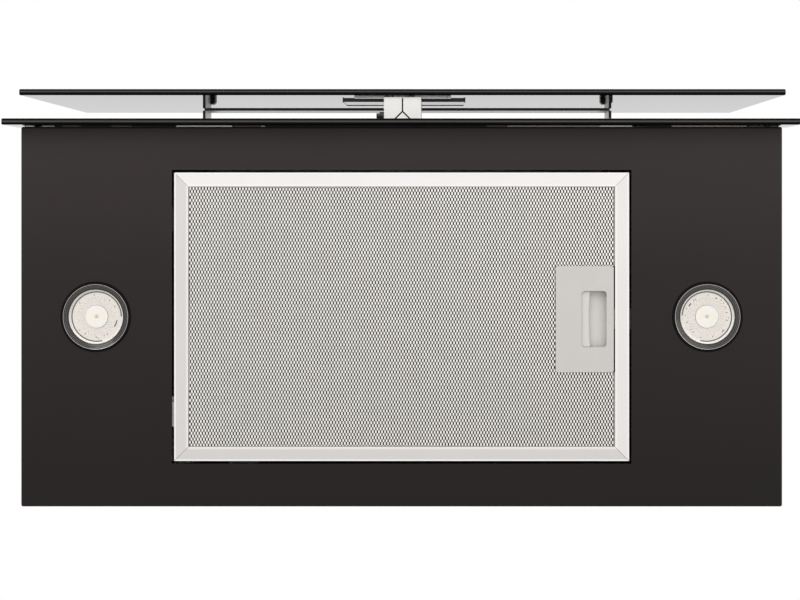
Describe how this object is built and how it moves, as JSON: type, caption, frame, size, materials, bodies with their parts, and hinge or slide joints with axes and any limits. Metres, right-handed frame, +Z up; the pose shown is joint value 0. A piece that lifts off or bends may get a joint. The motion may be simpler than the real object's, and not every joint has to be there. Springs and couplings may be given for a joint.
{
  "type": "range hood insert",
  "caption": "Cabinet-mounted range hood insert: slide-out glass front, removable mesh grease filter with latch, round lamps, blower and top duct collar with flaps.",
  "frame": {"origin": "centre of the plane where the tray's rim meets the cabinet's underside", "axes": "+X to the right for someone facing the glass, -Y to the front (the glass), +Z up into the cabinet and out of the duct collar"},
  "size_m": [0.6, 0.3207, 0.2652],
  "materials": {
    "painted_tray": "satin",
    "glass_front": "gloss",
    "tape": "matt",
    "casing_steel": "satin",
    "carrier_steel": "satin",
    "zinc_screws": "satin",
    "black_plastic": "matt",
    "white_plastic": "matt",
    "pcb": "matt",
    "motor_can": "satin",
    "black_rubber": "matt",
    "filter_alu": "satin",
    "mesh_alu": "satin",
    "latch_plastic": "satin",
    "lamp_rim": "satin",
    "lamp_lens": "gloss",
    "led_housing": "satin"
  },
  "bodies": {
    "housing": {"bottom_panel": "painted_tray", "front_strip": "glass_front", "strip_tape": "tape", "casing_front": "casing_steel", "casing_rear": "casing_steel", "casing_left": "casing_steel", "casing_right": "casing_steel", "top_cover": "casing_steel", "cover_screws": "zinc_screws", "outlet_collar": "black_plastic", "collar_screws": "zinc_screws", "volute_left": "black_plastic", "volute_right": "black_plastic", "motor": "motor_can", "motor_bracket": "casing_steel", "motor_grommets": "black_rubber", "electronics_box": "white_plastic", "electronics_cover": "white_plastic", "circuit_board": "pcb", "run_capacitor": "motor_can", "capacitor_strap": "casing_steel", "cable_gland": "black_plastic", "lamp_bezel_left": "lamp_rim", "lamp_bezel_right": "lamp_rim", "lamp_lens_left": "lamp_lens", "lamp_lens_right": "lamp_lens", "led_module_left": "led_housing", "led_module_right": "led_housing", "lamp_clips": "carrier_steel", "guide_rail_left": "casing_steel", "guide_rail_right": "casing_steel", "slide_glides": "white_plastic", "cabinet_bracket_left": "casing_steel", "cabinet_bracket_right": "casing_steel", "bracket_screws": "zinc_screws"},
    "front_panel": {"glass_panel": "glass_front", "carrier_bar": "carrier_steel", "slide_arm_left": "carrier_steel", "slide_arm_right": "carrier_steel", "arm_bumpers": "black_rubber", "touch_board": "black_plastic", "control_flange": "white_plastic", "control_box": "carrier_steel", "flange_clips": "black_plastic", "cable_bush": "black_plastic"},
    "grease_filter": {"filter_frame": "filter_alu", "mesh_outer": "mesh_alu", "mesh_core": "mesh_alu", "mesh_inner": "mesh_alu", "latch_plate": "latch_plastic", "filter_hooks": "filter_alu", "latch_spring": "zinc_screws"},
    "filter_latch": {"latch_slider": "latch_plastic"},
    "impeller": {"impeller": "black_plastic", "motor_shaft": "zinc_screws"},
    "flap_left": {"flap_left": "black_plastic"},
    "flap_right": {"flap_right": "black_plastic"}
  },
  "joints": [
    {"name": "panel_slide", "type": "slide", "parent": "housing", "child": "front_panel", "axis": [0, -1, 0], "range_m": [-0.0254, 0]},
    {"name": "filter_swing", "type": "hinge", "parent": "housing", "child": "grease_filter", "pos_m": [-0.17525, 0, -0.0164], "axis": [0, 1, 0], "range_deg": [0, 50]},
    {"name": "filter_latch_slide", "type": "slide", "parent": "grease_filter", "child": "filter_latch", "axis": [-1, 0, 0], "range_m": [0, 0.006], "stiffness_N_per_m": 300, "springref_m": -0.004, "deforming": ["latch_spring"]},
    {"name": "impeller_spin", "type": "hinge", "parent": "housing", "child": "impeller", "pos_m": [0, -0.025, 0.096], "axis": [1, 0, 0], "continuous": true},
    {"name": "flap_left_swing", "type": "hinge", "parent": "housing", "child": "flap_left", "pos_m": [-0.0039, 0.0285, 0.1951], "axis": [0, 1, 0], "range_deg": [0, 80]},
    {"name": "flap_right_swing", "type": "hinge", "parent": "housing", "child": "flap_right", "pos_m": [0.0039, 0.0285, 0.1951], "axis": [0, -1, 0], "range_deg": [0, 80]}
  ]
}
